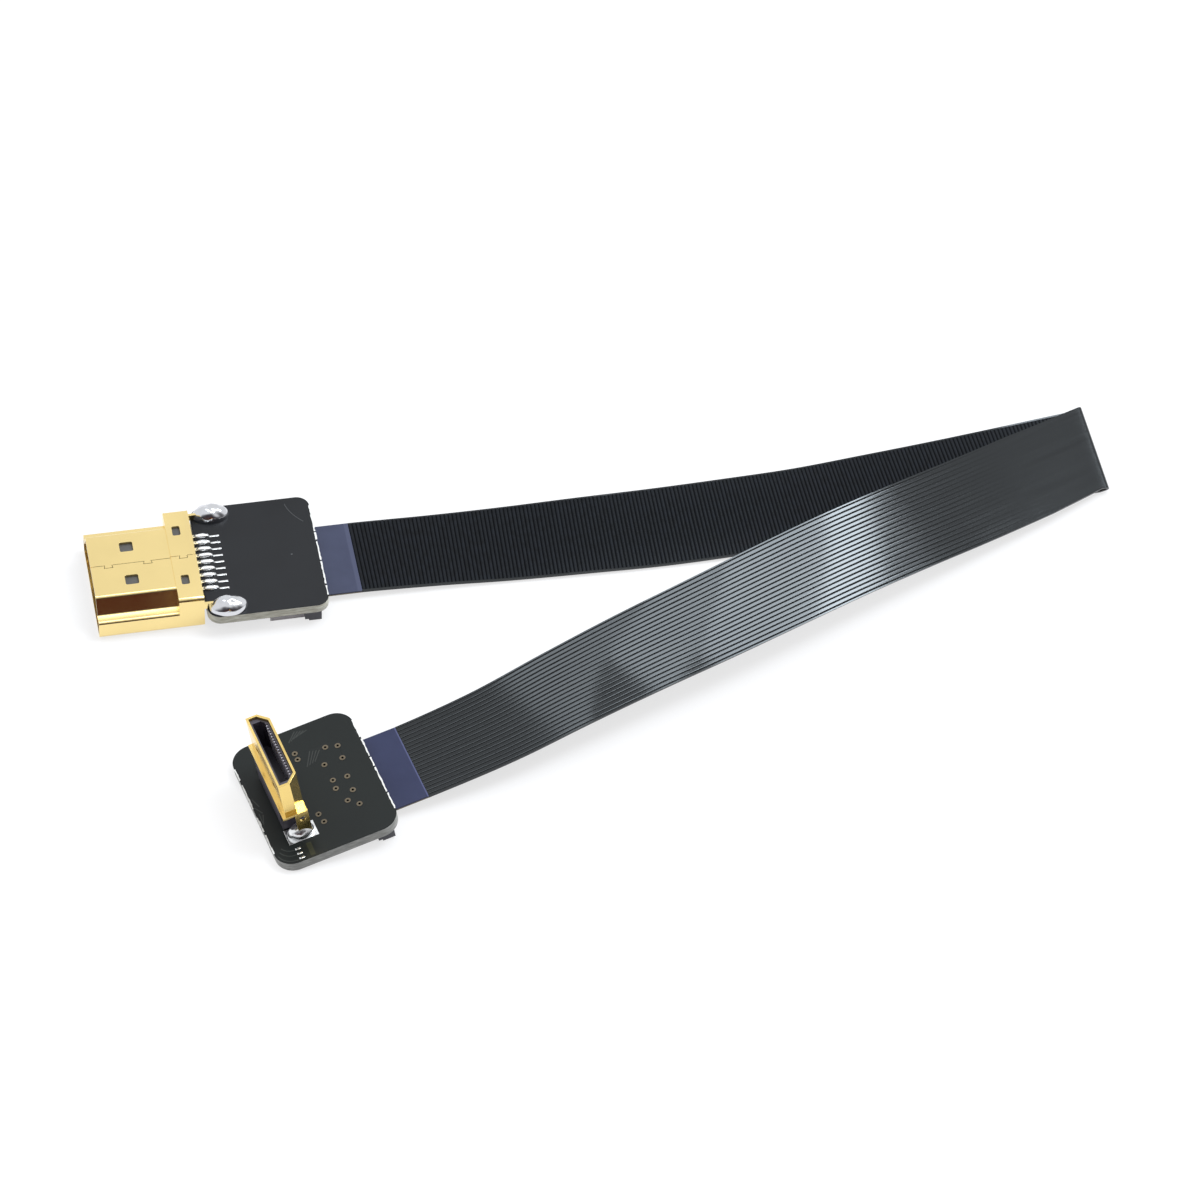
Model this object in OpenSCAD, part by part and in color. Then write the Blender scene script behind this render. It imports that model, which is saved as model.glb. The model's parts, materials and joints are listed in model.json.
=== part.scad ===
// Flat flex video cable: a full-size plug and a standing mini plug, each on a
// small circuit board, joined by a creased 20-way ribbon that is locked into a
// slide-lock connector under each board.
// X runs from the full-size plug's mouth towards the ribbon, Z is up, and the
// origin lies on the table under the middle of the full-size plug's shell.

/* [Full-size plug] */
// Width over the wide face of the shell
plug_w = 13.9; // [12:0.1:16]
// Height of the shell in front of its collar
plug_h = 4.45; // [4:0.05:5.5]
// Width of the narrow face
plug_narrow_w = 9.6; // [8.8:0.1:10.4]
// Length of the shell in front of its collar
plug_nose = 9; // [7.5:0.1:12]
// Length of the collar over the rear of the shell
plug_collar = 2.8; // [2.2:0.1:4]
// How far the collar stands above the narrow face
collar_rise = 0.3; // [0.2:0.05:0.45]
// Height of the side walls up to the shoulder
plug_shoulder = 2.6; // [2.4:0.05:2.9]
// Lean of the slopes between the shoulders and the narrow face, in degrees
plug_lean = 30; // [16:1:32]
// Thickness of the shell's sheet
plug_wall = 0.3; // [0.2:0.05:0.35]
// Side of each latch window in the narrow face
latch_window = 1.5; // [1:0.1:2]
// Distance between the plug's contacts in a row
plug_pitch = 1; // [0.9:0.01:1.04]
// Width of each contact
plug_pin_w = 0.42; // [0.3:0.02:0.5]

/* [Plug board] */
// Length along the cable
plug_board_l = 13.6; // [12.4:0.1:18]
// Width across the cable
plug_board_w = 16.8; // [16.6:0.1:20]
// Radius of the corners
plug_board_r = 1.5; // [0.5:0.1:3]
// Thickness of both circuit boards
board_t = 1.2; // [0.8:0.1:1.6]

/* [Mini plug] */
// Width over the long side of the mouth
mini_w = 10.42; // [10.2:0.02:11]
// Thickness of the shell
mini_t = 2.42; // [2.3:0.02:2.8]
// Height of the mouth above the board
mini_h = 8.9; // [8:0.1:11]
// Thickness of the shell's sheet
mini_wall = 0.25; // [0.18:0.01:0.3]
// Height of the moulded base that the shell stands on
mini_base_h = 3.7; // [3:0.1:4.2]
// Distance from the board's outer edge to the long side
mini_inset = 2.45; // [2.2:0.05:3]
// Distance between the mini plug's contacts
mini_pitch = 0.4; // [0.36:0.01:0.42]
// Number of contacts
mini_pins = 19; // [15:1:19]

/* [Mini board] */
// Length along the cable
mini_board_l = 14; // [13.6:0.1:18]
// Width across the cable
mini_board_w = 17.4; // [17:0.1:20]
// Radius of the corners
mini_board_r = 2.2; // [0.5:0.1:3]
// Radius of the drilled holes of the plated vias
via_r = 0.2; // [0.15:0.01:0.25]

/* [Ribbon connector] */
// Number of conductors
ways = 20; // [16:1:20]
// Distance between the conductors
way_pitch = 0.5; // [0.46:0.01:0.5]
// Height below the board
conn_h = 1.85; // [1.75:0.01:2.2]
// Width of the moulded housing
conn_w = 14.4; // [14:0.1:14.8]
// Depth of the housing along the cable
conn_l = 4.2; // [3.8:0.1:5]
// Depth of the locking bar along the cable
slider_l = 1.5; // [1.2:0.1:1.8]
// Thickness of the bar's side arms
slider_arm = 0.6; // [0.45:0.05:0.7]
// Distance that the locking bar pulls out
slider_travel = 1; // [0.6:0.1:1.2]
// Distance from the locking bar to the board's edge
slider_inset = 0.9; // [0.4:0.1:1.5]

/* [Ribbon] */
// Width of the ribbon
ribbon_w = 10.5; // [10.2:0.1:10.7]
// Thickness of the jacketed ribbon
ribbon_t = 0.3; // [0.2:0.02:0.36]
// Thickness of the bare laminate at its ends
tail_t = 0.12; // [0.08:0.01:0.14]
// Thickness of the blue stiffener at each end
stiffener_t = 0.2; // [0.14:0.01:0.22]
// Length of stiffener that shows past each board
stiffener_out = 4.1; // [3:0.1:6]
// Depth that each end goes in from the board's edge
ribbon_in = 4.6; // [4:0.1:5.2]

/* [Placement] */
// Place of the mini board's outer edge along X
mini_x = 7.3; // [5:0.1:9]
// Place of the mini board's outer edge along Y
mini_y = -35.3; // [-37:0.1:-33]
// Turn of the mini board about Z, in degrees
mini_turn = 11; // [9:0.5:13]

/* [Hidden] */
$fn = 48;
eps = 0.02;          // clearance between parts that fit into each other
fine = 0.01;         // overrun of a cut

// Full-size plug, along X from its mouth
mouth_x = -(plug_nose + plug_collar) / 2;
collar_x = mouth_x + plug_nose;
shell_x = collar_x + plug_collar;
collar_z = plug_h + collar_rise;
window_x = mouth_x + plug_nose * 0.48;
window_y = 2.5;
collar_window_y = 3.75;
upper_pins = 9;
lower_pins = 10;
pin_t = 0.2;

// Plug board: its top and bottom, held up by the connector under its rear edge
board_gap = 0.3;
plug_board_x = shell_x + board_gap;
plug_board_z = conn_h;
plug_board_top = plug_board_z + board_t;
plug_board_end = plug_board_x + plug_board_l;
tail_on_board = 1.5;
ear_l = 3.9;
ear_h = 0.8;
ear_solder_l = ear_l + 0.2;   // mound of solder over each ear
ear_solder_w = 2.6;
ear_solder_h = ear_h + 0.2;

// Plug's tongue slot, centred on the board so that the rows straddle it
slot_h = 1.9;
slot_w = (upper_pins + 0.9) * plug_pitch;
slot_mid = plug_board_z + board_t / 2 - 0.25;
slot_depth = plug_nose - 1.4;
face_setback = 0.6;

// Ribbon connector, in the board's own frame: X outward from its inner face
ribbon_drop = 0.91;      // middle of the ribbon below the board
tail_drop = ribbon_drop + 0.16 - tail_t / 2;
stiffener_top = tail_drop - tail_t / 2 - stiffener_t;
cavity_top = 0.4;
cavity_bottom = ribbon_drop + ribbon_t / 2 + 0.06;
cavity_w = ribbon_w + 0.3;
front_wall = 0.8;
pin_slot = 0.26;
way_pin_w = 0.2;
conn_floor = 0.22;
tongue_t = 0.22;
arm_l = 0.4;             // of the bar's side arms, back from the mouth
plug_conn_x = plug_board_end - slider_inset - slider_l - conn_l;
mini_conn_x = mini_board_l - slider_inset - slider_l - conn_l;

// The mini board rests on its outer edge and on its connector's rear edge
mini_tilt = atan(conn_h / (mini_conn_x + conn_l));

// Mini plug, in the mini board's frame, standing on the board's top face
mini_mid = mini_inset + mini_t / 2;
mini_chamfer = 1.12;
rim_w = 0.4;
rim_t = 0.3;
mini_pin_w = 0.22;
mini_base_w = mini_w - 2.6;      // the moulded base is shorter than the shell
mini_pad_v = mini_base_w / 2 + 0.1;
mini_pad_l = 3.4;
mini_pad_w = 2.1;
foot_solder_h = 1.7;             // mound that each foot of the shell stands in
foot_solder_l = mini_pad_l - 0.4;
foot_solder_w = mini_pad_w - 0.1;
tip_depth = 0.15;                // contacts' tips below the block's face
mini_face = mini_h - 0.35;
mini_pin_x = mini_t - mini_wall - 0.42;   // contacts' row, along the slot's far wall

// Places of the vias on the mini board, along it and across it
vias = [[10, 4.6], [11.3, 4.2], [11.2, 2.4], [9.1, 2.4], [10.8, -0.2], [9.2, 0], [9.1, -1.2],
    [10.7, -2.2], [9.7, -3.3], [10.7, -4.3], [6.7, 5.3], [6.7, 4.4], [6.2, -3.6], [6.4, -4.8]];

// A point given in the mini board's frame, in the part's frame
function on_mini(u, v, n) =
    let (x = u * cos(mini_tilt) - n * sin(mini_tilt))
    [mini_x + x * cos(mini_turn) - v * sin(mini_turn),
     mini_y + x * sin(mini_turn) + v * cos(mini_turn),
     u * sin(mini_tilt) + n * cos(mini_tilt)];

module on_mini_board() {
    translate([mini_x, mini_y, 0]) rotate([0, -mini_tilt, mini_turn]) children();
}

// ---------- Ribbon's route: [x, y, z, turn, roll] ----------
// turn is the cross line's angle from Y in plan, roll is how far its far side rises
plug_side = concat(
    [[plug_board_end - ribbon_in, 0, conn_h - ribbon_drop, 0, 0],
     [plug_board_end + stiffener_out, 0, conn_h - ribbon_drop, 0, 0]],
    [[33, -0.2, 0.8, -2, 1], [41, -0.5, 0.8, -2.5, 4], [50, -0.9, 1.1, -2, 7],
     [58.5, -1.1, 1.2, -0.5, 9], [67, -1, 1.3, 1, 9], [75.5, -0.7, 1.4, 3, 8],
     [84, 0, 1.6, 4.5, 7], [93, 0.7, 1.8, 5, 8], [101.5, 1.3, 2, 5.5, 12], [110, 2, 2, 6.5, 19]]);
mini_side = concat(
    [[110, 2, 2.6, 6.5, 19], [101.7, -1.9, 3.4, 21, 22], [93.4, -5.7, 4.3, 24.5, 24],
     [85, -9.4, 5.2, 24, 24], [76.7, -13, 5.8, 23, 23], [68.4, -16.6, 6, 22.5, 20],
     [60, -20, 5.8, 21.5, 16], [51.4, -23.2, 5.3, 20.5, 11], [43, -26.4, 4.6, 20, 6],
     [34.3, -29.5, 3.4, 17, 2]],
    [concat(on_mini(mini_board_l + stiffener_out, 0, -ribbon_drop), [mini_turn, 0]),
     concat(on_mini(mini_board_l - ribbon_in, 0, -ribbon_drop), [mini_turn, 0])]);
spans = 3;               // rings along each stretch of the route
bend_rings = 5;          // rings round the crease
bend_r = 0.3;
crease_w = ribbon_w + 0.2;

// Catmull-Rom curve through the stations, which carries turn and roll along
function station(r, i) = r[max(0, min(len(r) - 1, i))];
function along(r, i, t) =
    let (a = station(r, i - 1), b = station(r, i), c = station(r, i + 1), d = station(r, i + 2))
    0.5 * (2 * b + (c - a) * t + (2 * a - 5 * b + 4 * c - d) * t * t + (3 * b - a - 3 * c + d) * t * t * t);
function xyz(p) = [p[0], p[1], p[2]];
function unit(v) = v / norm(v);
function cross_line(p) = [-sin(p[3]) * cos(p[4]), cos(p[3]) * cos(p[4]), sin(p[4])];
function stretch_at(r, i, t) =
    let (p = along(r, i, t), q = along(r, i, t + 0.01), o = along(r, i, t - 0.01),
         dir = unit(xyz(q) - xyz(o)), d = cross_line(p), s = d * dir)
    [xyz(p), d * ribbon_w / sqrt(1 - s * s), unit(cross(dir, d))];

// A ring of the ribbon: middle, cross line at full width, normal, thickness
function ring(m, d, n, t) = [m + d / 2 + n * t / 2, m - d / 2 + n * t / 2, m - d / 2 - n * t / 2, m + d / 2 - n * t / 2];
function jacket_ring(r, i, t) = let (s = stretch_at(r, i, t)) ring(s[0], s[1], s[2], ribbon_t);
function plug_tail(x) = ring([x, 0, conn_h - tail_drop], [0, ribbon_w, 0], [0, 0, 1], tail_t);
function mini_tail(u) =
    let (d = on_mini(0, 1, 0) - on_mini(0, 0, 0), n = on_mini(0, 0, 1) - on_mini(0, 0, 0))
    ring(on_mini(u, 0, -tail_drop), d * ribbon_w, -n, tail_t);
crease = mini_side[0];
crease_d = cross_line(crease);
crease_out = [cos(crease[3]), sin(crease[3]), 0];
crease_n = cross(crease_out, crease_d);
function bend_ring(a) =
    let (out = crease_out * cos(a) + crease_n * sin(a))
    ring([crease[0], crease[1], crease[2] - bend_r] + out * bend_r, crease_d * crease_w, -out, ribbon_t);

last_plug = len(plug_side) - 2;
last_mini = len(mini_side) - 3;
rings = concat(
    [plug_tail(plug_side[0][0]), plug_tail(plug_side[1][0])],
    [for (i = [1:last_plug]) for (k = [0:spans - 1]) jacket_ring(plug_side, i, k / spans + (i == 1 && k == 0 ? 0.02 : 0))],
    [for (k = [0:bend_rings - 1]) bend_ring(-90 + 180 * k / (bend_rings - 1))],
    [for (i = [0:last_mini]) for (k = [1:spans]) jacket_ring(mini_side, i, k / spans - (i == last_mini && k == spans ? 0.02 : 0))],
    [mini_tail(mini_board_l + stiffener_out), mini_tail(mini_board_l - ribbon_in)]);

module ribbon() {
    n = len(rings);
    color([0.16, 0.17, 0.18])
    polyhedron(
        points = [for (r = rings) for (p = r) p],
        faces = concat(
            [[0, 1, 2, 3]],
            [for (i = [0:n - 2]) for (k = [0:3]) [4 * i + k, 4 * (i + 1) + k, 4 * (i + 1) + (k + 1) % 4]],
            [for (i = [0:n - 2]) for (k = [0:3]) [4 * i + k, 4 * (i + 1) + (k + 1) % 4, 4 * i + (k + 1) % 4]],
            [[4 * n - 1, 4 * n - 2, 4 * n - 3, 4 * n - 4]]));
}

// ---------- Shapes used by more than one piece ----------
// A rectangle from [0, -w/2] to [l, w/2] with round corners
module round_plate(l, w, r) {
    translate([r, -w / 2]) square([l - 2 * r, w]);
    translate([0, -w / 2 + r]) square([l, w - 2 * r]);
    for (x = [r, l - r]) for (y = [-1, 1]) translate([x, y * (w / 2 - r)]) circle(r);
}

// A profile in Y and Z, carried along X from x to x + l
module along_x(x, l) {
    translate([x, 0, 0]) rotate([90, 0, 90]) linear_extrude(l) children();
}

// A profile in X and Z, centred on y and w wide
module across_y(y, w) {
    translate([0, y + w / 2, 0]) rotate([90, 0, 0]) linear_extrude(w) children();
}

function arc(c, r, from, to, n = 6) = [for (i = [0:n]) c + r * [cos(from + (to - from) * i / n), sin(from + (to - from) * i / n)]];

// Half of the nose's section, from the wide face up the side to the narrow face.
// t is how far it lies inside the outer skin.
function nose_half(t) =
    let (w = plug_w / 2 - t, s = plug_shoulder - t, n = plug_narrow_w / 2 - t, h = plug_h - t,
         r = max(0.2, 0.8 - t), e = max(0.1, 0.35 - t), top = max(0.12, 0.4 - t), f = 0.25 + t,
         rise = h - s - (top + f) * (1 - sin(plug_lean)),
         foot = n - top * (1 - cos(plug_lean)) + rise * tan(plug_lean) - f * (1 - cos(plug_lean)))
    concat(arc([w - r, t + r], r, -90, 0),
        arc([w - e, s - e], e, 0, 90, 4),
        arc([foot + f, s + f], f, -90, plug_lean - 180, 4),
        arc([n - top, h - top], top, plug_lean, 90, 4));
module nose_section(t) {
    half = nose_half(t);
    polygon(concat(half, [for (i = [len(half) - 1:-1:0]) [-half[i][0], half[i][1]]]));
}
// The collar's section: a full-width box with rounded corners
function box_half(t) =
    let (w = plug_w / 2 - t, r = max(0.2, 0.8 - t), q = max(0.15, 0.5 - t))
    concat(arc([w - r, t + r], r, -90, 0), arc([w - q, collar_z - t - q], q, 0, 90));
module box_section(t) {
    half = box_half(t);
    polygon(concat(half, [for (i = [len(half) - 1:-1:0]) [-half[i][0], half[i][1]]]));
}

// The line where a folded sheet meets itself, with dovetails at the given places
module seam(x, l, z, y, tabs) {
    w = 0.06;
    d = 0.4;
    for (s = [0:len(tabs)]) {
        a = s == 0 ? x : tabs[s - 1] + 0.42;
        b = s == len(tabs) ? x + l : tabs[s] - 0.42;
        translate([a, y - w / 2, z]) cube([b - a + w, w, 1]);
    }
    for (t = tabs) translate([t, y, z]) linear_extrude(1)
        polygon([[-0.42, w / 2], [-0.42, -w / 2], [-0.52, -d - w / 2], [0.52, -d - w / 2], [0.42, -w / 2], [0.42, w / 2],
                 [0.42 - w, w / 2], [0.52 - w * 1.4, -d + w / 2], [-0.52 + w * 1.4, -d + w / 2], [-0.42 + w, w / 2]]);
}

// ---------- Full-size plug ----------
module window(x, y, l, w, z, h) {
    translate([x, y, z]) linear_extrude(h) translate([-l / 2, 0]) round_plate(l, w, 0.2);
}

module plug_shell() {
    color([0.93, 0.80, 0.46])
    difference() {
        union() {
            along_x(mouth_x, plug_nose + plug_wall) nose_section(0);
            along_x(collar_x, plug_collar) box_section(0);
            for (s = [-1, 1]) translate([shell_x - 1, s * (plug_w / 2 - plug_wall / 2) - plug_wall / 2, plug_board_top])
                cube([1 + board_gap + ear_l, plug_wall, ear_h]);
        }
        along_x(mouth_x - fine, plug_nose + 1) nose_section(plug_wall);
        along_x(collar_x + plug_wall, plug_collar + fine) box_section(plug_wall);
        for (s = [-1, 1]) {
            window(window_x, s * window_y, latch_window, latch_window * 0.94, plug_h - 0.6, 1);
            window(window_x, s * window_y, latch_window, latch_window * 0.94, -0.5, 1);
            window(collar_x + plug_collar * 0.4, s * collar_window_y, 0.9, 1.4, collar_z - 0.6, 1);
        }
        seam(mouth_x - fine, plug_nose + fine, plug_h - plug_wall - 0.1, 0, [mouth_x + 2, mouth_x + 6.4]);
        seam(collar_x - fine, plug_collar + 2 * fine, collar_z - plug_wall - 0.05, -0.1, [collar_x + 1.4]);
    }
}

// Row of the plug's contacts: side is 1 for the upper row, -1 for the lower
function pin_face(side) = slot_mid + side * slot_h / 2;
function tail_face(side) = side > 0 ? plug_board_top : plug_board_z;
function pin_y(side, i) = (i - ((side > 0 ? upper_pins : lower_pins) - 1) / 2) * plug_pitch;
function pin_profile(side, grow) =
    let (a = pin_face(side), b = tail_face(side), t = side * pin_t, g = side * grow,
         x0 = mouth_x + face_setback + 0.6, x1 = shell_x - 1.4, x2 = shell_x - 0.7, x3 = plug_board_x + tail_on_board)
    [[x0 - grow, a - g], [x1, a - g], [x2, b - g], [x3 + grow, b - g],
     [x3 + grow, b + t + g], [x2, b + t + g], [x1, a + t + g], [x0 - grow, a + t + g]];

module pin_row(side, grow = 0) {
    n = side > 0 ? upper_pins : lower_pins;
    for (i = [0:n - 1]) across_y(pin_y(side, i), plug_pin_w + 2 * grow) polygon(pin_profile(side, grow));
}

module plug_upper_contacts() { color([0.93, 0.86, 0.62]) pin_row(1); }
module plug_lower_contacts() { color([0.93, 0.86, 0.62]) pin_row(-1); }

module plug_insulator() {
    color([0.13, 0.13, 0.15])
    difference() {
        union() {
            along_x(mouth_x + face_setback, plug_nose + 1 - face_setback) nose_section(plug_wall + eps);
            along_x(collar_x + plug_wall + eps, plug_collar - plug_wall - eps) box_section(plug_wall + eps);
        }
        translate([mouth_x, -slot_w / 2, slot_mid - slot_h / 2]) cube([face_setback + slot_depth, slot_w, slot_h]);
        pin_row(1, eps);
        pin_row(-1, eps);
    }
}

// ---------- Plug board ----------
module plug_board() {
    color([0.22, 0.23, 0.24])
    translate([plug_board_x, 0, plug_board_z]) linear_extrude(board_t) round_plate(plug_board_l, plug_board_w, plug_board_r);
}

module plug_board_pads() {
    x = plug_board_x + tail_on_board + 0.15;
    color([0.85, 0.85, 0.87])
    for (i = [0:upper_pins - 1]) translate([x, pin_y(1, i) - 0.12, plug_board_top]) cube([1.1, 0.24, 0.05]);
}

// A mound of solder l long, w wide and h high over a flat face at z = 0
module mound(l, w, h) {
    r = (w * w / 4 + h * h) / (2 * h);
    intersection() {
        translate([0, 0, h - r]) {
            rotate([0, 90, 0]) cylinder(h = l - w, r = r, center = true);
            for (s = [-1, 1]) translate([s * (l - w) / 2, 0, 0]) sphere(r);
        }
        translate([-l, -w, 0]) cube([2 * l, 2 * w, h + 1]);
    }
}

module plug_shell_solder() {
    color([0.78, 0.78, 0.80])
    for (s = [-1, 1]) difference() {
        translate([plug_board_x + ear_l / 2 + 0.5, s * (plug_w / 2 + 0.1), plug_board_top]) mound(ear_solder_l, ear_solder_w, ear_solder_h);
        translate([shell_x - 1, s * (plug_w / 2 - plug_wall / 2) - plug_wall / 2, plug_board_top - 1])
            cube([1 + board_gap + ear_l, plug_wall, ear_h + 1]);
    }
}

module plug_pin_solder() {
    color([0.86, 0.86, 0.88])
    for (side = [1, -1]) difference() {
        n = side > 0 ? upper_pins : lower_pins;
        for (i = [0:n - 1]) translate([plug_board_x + tail_on_board / 2 + 0.05, pin_y(side, i), tail_face(side)])
            rotate([side > 0 ? 0 : 180, 0, 0]) mound(tail_on_board - 0.1, 0.68, 0.3);
        pin_row(side);
    }
}

// ---------- Ribbon connector, hanging below a board ----------
function way_y(i) = (i - (ways - 1) / 2) * way_pitch;

module housing() {
    difference() {
        translate([0, -conn_w / 2, -conn_h]) cube([conn_l, conn_w, conn_h]);
        // mouth for the ribbon and the bar's tongue
        translate([front_wall, -cavity_w / 2, -cavity_bottom]) cube([conn_l, cavity_w, cavity_bottom - cavity_top]);
        // a slot for each contact
        for (i = [0:ways - 1]) across_y(way_y(i), pin_slot)
            polygon([[-fine, fine], [front_wall - 0.2, fine], [front_wall - 0.2, -cavity_bottom], [conn_l - 0.5, -cavity_bottom],
                     [conn_l - 0.5, -conn_h + conn_floor], [-fine, -conn_h + conn_floor]]);
        // lead-in at the mouth and relief for the bar's arms
        translate([conn_l - 0.3, -cavity_w / 2 - 0.2, -cavity_bottom]) cube([1, cavity_w + 0.4, cavity_bottom - cavity_top]);
    }
}

module way_contacts() {
    b = -conn_h + conn_floor + 0.03;
    for (i = [0:ways - 1]) across_y(way_y(i), way_pin_w)
        polygon([[-0.9, 0], [0.3, 0], [0.3, b + 0.24], [conn_l - 1.5, b + 0.24], [conn_l - 1.15, -tail_drop - tail_t / 2],
                 [conn_l - 0.95, -tail_drop - tail_t / 2], [conn_l - 0.75, b + 0.2], [conn_l - 0.9, b], [0.06, b], [0.06, -0.15], [-0.9, -0.15]]);
}

module tabs() {
    for (s = [-1, 1]) scale([1, s, 1]) {
        translate([0.4, conn_w / 2, -0.15]) cube([1.2, 0.9, 0.15]);
        translate([0.4, conn_w / 2, -1.1]) cube([1.2, 0.15, 1]);
    }
}

module slider() {
    w = conn_w + 2 * slider_arm + 0.1;
    gap = 0.05;
    difference() {
        union() {
            // bar across the mouth
            translate([conn_l + gap, -w / 2, -conn_h + gap]) cube([slider_l - gap, w, conn_h - 2 * gap]);
            // tongue that wedges the ribbon
            translate([front_wall + 0.5, -cavity_w / 2 + 0.2, -stiffener_top + gap])
                cube([conn_l - front_wall, cavity_w - 0.4, tongue_t]);
            // arms along the housing's sides
            for (s = [-1, 1]) translate([conn_l - arm_l, s * (w / 2 - slider_arm / 2) - slider_arm / 2, -conn_h + 0.3])
                cube([arm_l + 0.3, slider_arm, conn_h - 0.6]);
        }
        // window for the ribbon, open to the bar's lower face as far as its lead-in
        translate([conn_l - 0.5, -cavity_w / 2, -cavity_bottom]) cube([slider_l + 1, cavity_w, cavity_bottom - stiffener_top + gap]);
        // finger notches in the bar's lower edge
        for (s = [-1, 1]) translate([conn_l + slider_l - 0.45, s * (conn_w / 2 - 1.4) - 0.9, -conn_h]) cube([1, 1.8, 0.45]);
    }
}

module stiffener() {
    translate([-ribbon_in, -ribbon_w / 2, -stiffener_top - stiffener_t]) cube([ribbon_in + stiffener_out, ribbon_w, stiffener_t]);
}

module under_plug_board() { translate([plug_conn_x, 0, plug_board_z]) children(); }
module under_mini_board() { on_mini_board() translate([mini_conn_x, 0, 0]) children(); }

module plug_end_housing() { color([0.80, 0.78, 0.80]) under_plug_board() housing(); }
module plug_end_slider() { color([0.30, 0.30, 0.34]) under_plug_board() slider(); }
module plug_end_contacts() { color([0.85, 0.80, 0.66]) under_plug_board() way_contacts(); }
module plug_end_tabs() { color([0.82, 0.82, 0.84]) under_plug_board() tabs(); }
module plug_end_stiffener() { color([0.30, 0.33, 0.48]) translate([plug_board_end, 0, plug_board_z]) stiffener(); }
module mini_end_housing() { color([0.80, 0.78, 0.80]) under_mini_board() housing(); }
module mini_end_slider() { color([0.30, 0.30, 0.34]) under_mini_board() slider(); }
module mini_end_contacts() { color([0.85, 0.80, 0.66]) under_mini_board() way_contacts(); }
module mini_end_tabs() { color([0.82, 0.82, 0.84]) under_mini_board() tabs(); }
module mini_end_stiffener() { color([0.26, 0.29, 0.44]) on_mini_board() translate([mini_board_l, 0, 0]) stiffener(); }

// ---------- Mini board ----------
module mini_board() {
    color([0.20, 0.22, 0.21])
    on_mini_board() linear_extrude(board_t) difference() {
        round_plate(mini_board_l, mini_board_w, mini_board_r);
        for (v = vias) translate(v) circle(via_r);
    }
}

module mini_board_vias() {
    ring_t = 0.04;
    plate = 0.06;
    color([0.55, 0.45, 0.30])
    on_mini_board() for (v = vias) translate([v[0], v[1], 0]) difference() {
        union() {
            cylinder(h = board_t, r = via_r);
            translate([0, 0, board_t]) cylinder(h = ring_t, r = via_r + 0.13);
        }
        translate([0, 0, -1]) cylinder(h = board_t + 2, r = via_r - plate);
    }
}

module mini_board_pads() {
    color([0.85, 0.85, 0.87])
    on_mini_board() {
        for (s = [-1, 1]) translate([mini_mid - mini_pad_l / 2, s * (mini_pad_v + mini_pad_w / 2) - mini_pad_w / 2, board_t])
            cube([mini_pad_l, mini_pad_w, 0.05]);
        for (i = [0:2]) translate([2.3, -mini_board_w / 2 + 0.35 + 0.65 * i, board_t]) cube([0.6, 0.25, 0.05]);
    }
}

// ---------- Mini plug ----------
// Section of the shell: the long side at x = 0, the short side chamfered
module mini_section(t) {
    w = mini_w / 2 - t;
    c = mini_chamfer - t * 0.4;
    polygon([[t, -w], [mini_t - t - c, -w], [mini_t - t, -w + c], [mini_t - t, w - c], [mini_t - t - c, w], [t, w]]);
}

module mini_frame() { on_mini_board() translate([mini_inset, 0, board_t]) children(); }

module mini_shell() {
    ear_w = 1.5;
    ear_y = mini_w / 2 + rim_w;
    color([0.93, 0.80, 0.46])
    mini_frame() difference() {
        union() {
            translate([0, 0, mini_base_h]) linear_extrude(mini_h - mini_base_h) mini_section(0);
            // rim round the foot of the shell
            translate([-rim_w, -mini_w / 2 - rim_w, mini_base_h]) cube([mini_t + rim_w, mini_w + 2 * rim_w, rim_t]);
            // ears folded down to the board at both ends
            for (s = [-1, 1]) translate([mini_t - ear_w, s * (ear_y - rim_t / 2) - rim_t / 2, 0.1]) cube([ear_w, rim_t, mini_base_h]);
        }
        translate([0, 0, -1]) linear_extrude(mini_h + 2) mini_section(mini_wall);
        for (s = [-1, 1]) translate([mini_t - ear_w / 2, s * ear_y, mini_base_h - 0.8]) rotate([90, 0, 0]) cylinder(h = 2, r = 0.36, center = true);
        // latch windows in both long sides
        for (s = [-1, 1]) translate([-1, s * 2.6 - 0.6, mini_h - 3.4]) cube([mini_t + 2, 1.2, 1.2]);
    }
}

module mini_insulator() {
    slot_l = mini_pins * mini_pitch + 1.2;
    inner = mini_wall + eps;
    color([0.16, 0.15, 0.18])
    mini_frame() difference() {
        union() {
            translate([-rim_w, -mini_base_w / 2, 0.1]) cube([mini_t + rim_w, mini_base_w, mini_base_h - 0.1]);
            translate([0, 0, mini_base_h - 0.5]) linear_extrude(mini_face - mini_base_h + 0.5) mini_section(inner);
        }
        // slot for the socket's tongue, and a groove for each contact, open at the face
        translate([0, 0, mini_base_h + 0.4]) intersection() {
            linear_extrude(mini_h) mini_section(mini_wall + 0.2);
            translate([0, -slot_l / 2, -1]) cube([mini_pin_x, slot_l, mini_h + 2]);
        }
        for (i = [0:mini_pins - 1]) {
            across_y(mini_way(i), mini_pin_w + 2 * eps) polygon(mini_pin_profile(eps));
            translate([mini_pin_x - 0.1, mini_way(i) - mini_pin_w / 2 - eps, mini_face - 0.5]) cube([0.3 + eps, mini_pin_w + 2 * eps, 1]);
        }
    }
}

function mini_way(i) = (i - (mini_pins - 1) / 2) * mini_pitch;
function mini_pin_profile(grow) =
    let (x = mini_pin_x, top = mini_face - tip_depth)
    [[x - grow - (grow > 0 ? 0.1 : 0), mini_base_h + 0.5 - grow], [x - grow - (grow > 0 ? 0.1 : 0), top + grow], [x + 0.2 + grow, top + grow],
     [x + 0.2 + grow, 0.2 + grow], [mini_t - 0.1 + grow, 0.2 + grow], [mini_t - 0.1 + grow, -grow], [x - grow, -grow], [x - grow, mini_base_h + 0.5 - grow]];

module mini_contacts() {
    color([0.93, 0.86, 0.62])
    mini_frame() for (i = [0:mini_pins - 1]) across_y(mini_way(i), mini_pin_w) polygon(mini_pin_profile(0));
}

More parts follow.
